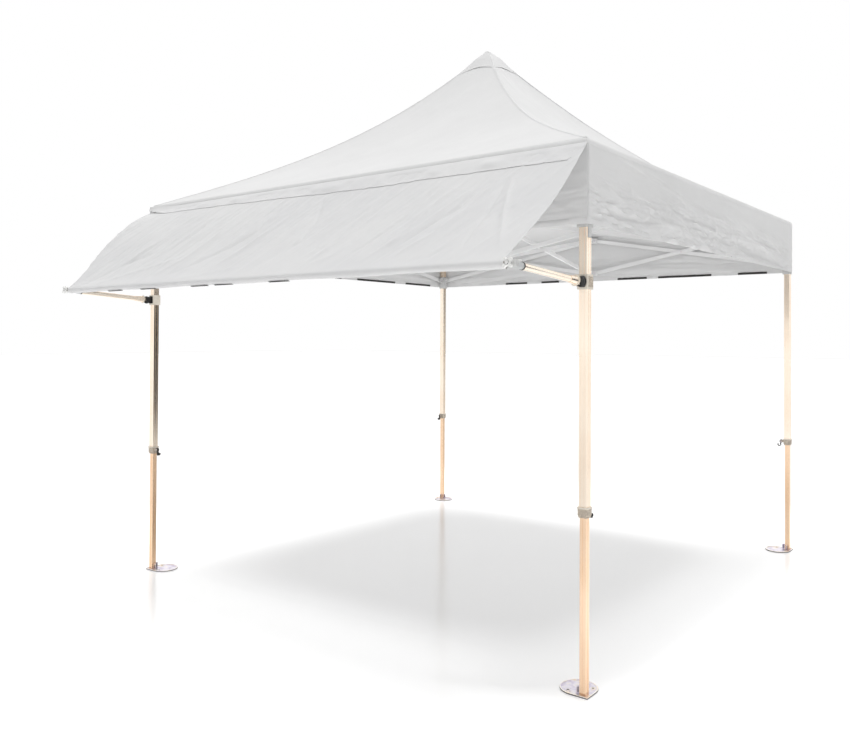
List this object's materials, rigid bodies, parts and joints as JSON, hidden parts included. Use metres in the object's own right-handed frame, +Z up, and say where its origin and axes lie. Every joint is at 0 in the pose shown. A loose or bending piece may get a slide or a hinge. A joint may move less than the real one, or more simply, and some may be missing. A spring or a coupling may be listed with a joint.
{
  "type": "marquee tent",
  "caption": "Folding marquee tent with telescopic legs, scissor trusses, a centre mast, a pointed fabric roof with valances and a sloping front awning on hinged arms.",
  "frame": {"origin": "on the ground, at the centre of the whole tent's plan, awning included", "axes": "+X to the right along the front, seen from the front, +Y from the awning towards the back, +Z up"},
  "size_m": [3.008, 3.5611, 3.3046],
  "materials": {
    "champagne_anodised_aluminium": "satin anodised",
    "pale_champagne_anodised_aluminium": "satin anodised",
    "silver_anodised_aluminium": "satin anodised",
    "zinc_plated_steel": "bright zinc plate",
    "beige_grey_nylon": "moulded, fine grain",
    "light_grey_nylon": "moulded, fine grain",
    "white_nylon": "moulded",
    "black_nylon": "moulded",
    "white_coated_polyester": "coated woven",
    "white_awning_polyester": "coated woven"
  },
  "bodies": {
    "tent": {"awning_flap": "white_awning_polyester", "awning_sheet": "white_awning_polyester", "centre_mast": "silver_anodised_aluminium", "centre_truss_back": "silver_anodised_aluminium", "centre_truss_front": "silver_anodised_aluminium", "centre_truss_left": "silver_anodised_aluminium", "centre_truss_right": "silver_anodised_aluminium", "hinge_knuckle_left": "black_nylon", "hinge_knuckle_right": "black_nylon", "leg_clamp_left": "beige_grey_nylon", "leg_clamp_right": "beige_grey_nylon", "lock_collar_back_left": "beige_grey_nylon", "lock_collar_back_right": "beige_grey_nylon", "lock_collar_front_left": "beige_grey_nylon", "lock_collar_front_right": "beige_grey_nylon", "mast_hub_lower": "light_grey_nylon", "mast_hub_upper": "light_grey_nylon", "roof_panel_back": "white_coated_polyester", "roof_panel_front": "white_coated_polyester", "roof_panel_left": "white_coated_polyester", "roof_panel_right": "white_coated_polyester", "side_truss_back": "silver_anodised_aluminium", "side_truss_front": "silver_anodised_aluminium", "side_truss_left": "silver_anodised_aluminium", "side_truss_right": "silver_anodised_aluminium", "slider_bracket_back_left": "light_grey_nylon", "slider_bracket_back_right": "light_grey_nylon", "slider_bracket_front_left": "light_grey_nylon", "slider_bracket_front_right": "light_grey_nylon", "top_bracket_back_left": "light_grey_nylon", "top_bracket_back_right": "light_grey_nylon", "top_bracket_front_left": "light_grey_nylon", "top_bracket_front_right": "light_grey_nylon", "upper_leg_back_left": "champagne_anodised_aluminium", "upper_leg_back_right": "champagne_anodised_aluminium", "upper_leg_front_left": "champagne_anodised_aluminium", "upper_leg_front_right": "champagne_anodised_aluminium", "valance_back": "white_coated_polyester", "valance_front": "white_coated_polyester", "valance_left": "white_coated_polyester", "valance_right": "white_coated_polyester"},
    "lower_leg_front_right": {"lower_leg_front_right": "pale_champagne_anodised_aluminium", "foot_plate_front_right": "zinc_plated_steel"},
    "lever_front_right": {"lock_lever_front_right": "black_nylon"},
    "lower_leg_back_right": {"lower_leg_back_right": "pale_champagne_anodised_aluminium", "foot_plate_back_right": "zinc_plated_steel"},
    "lever_back_right": {"lock_lever_back_right": "black_nylon"},
    "lower_leg_back_left": {"lower_leg_back_left": "pale_champagne_anodised_aluminium", "foot_plate_back_left": "zinc_plated_steel"},
    "lever_back_left": {"lock_lever_back_left": "black_nylon"},
    "lower_leg_front_left": {"lower_leg_front_left": "pale_champagne_anodised_aluminium", "foot_plate_front_left": "zinc_plated_steel"},
    "lever_front_left": {"lock_lever_front_left": "black_nylon"},
    "awning_frame": {"awning_arm_right": "champagne_anodised_aluminium", "awning_arm_left": "champagne_anodised_aluminium", "bar_elbow_right": "white_nylon", "bar_elbow_left": "white_nylon", "awning_bar": "champagne_anodised_aluminium"}
  },
  "joints": [
    {"name": "leg_slide_front_right", "type": "slide", "parent": "tent", "child": "lower_leg_front_right", "axis": [0, 0, 1], "range_m": [-0.2, 0.6]},
    {"name": "leg_slide_back_right", "type": "slide", "parent": "tent", "child": "lower_leg_back_right", "axis": [0, 0, 1], "range_m": [-0.2, 0.6]},
    {"name": "leg_slide_back_left", "type": "slide", "parent": "tent", "child": "lower_leg_back_left", "axis": [0, 0, 1], "range_m": [-0.2, 0.6]},
    {"name": "leg_slide_front_left", "type": "slide", "parent": "tent", "child": "lower_leg_front_left", "axis": [0, 0, 1], "range_m": [-0.2, 0.6]},
    {"name": "lever_pull_front_right", "type": "hinge", "parent": "tent", "child": "lever_front_right", "pos_m": [1.476, -1.1585, 0.735], "axis": [1, 0, 0], "range_deg": [0, 45], "stiffness_Nm_per_rad": 0.3, "springref_deg": -28.65},
    {"name": "lever_pull_back_right", "type": "hinge", "parent": "tent", "child": "lever_back_right", "pos_m": [1.435, 1.7525, 0.735], "axis": [0, 1, 0], "range_deg": [0, 45], "stiffness_Nm_per_rad": 0.3, "springref_deg": -28.65},
    {"name": "lever_pull_back_left", "type": "hinge", "parent": "tent", "child": "lever_back_left", "pos_m": [-1.476, 1.7115, 0.735], "axis": [-1, 0, 0], "range_deg": [0, 45], "stiffness_Nm_per_rad": 0.3, "springref_deg": -28.65},
    {"name": "lever_pull_front_left", "type": "hinge", "parent": "tent", "child": "lever_front_left", "pos_m": [-1.435, -1.1995, 0.735], "axis": [0, -1, 0], "range_deg": [0, 45], "stiffness_Nm_per_rad": 0.3, "springref_deg": -28.65},
    {"name": "awning_hinge", "type": "hinge", "parent": "tent", "child": "awning_frame", "pos_m": [0, -1.2465, 1.655], "axis": [-1, 0, 0], "range_deg": [0, 60], "deforming": ["awning_sheet"]}
  ]
}
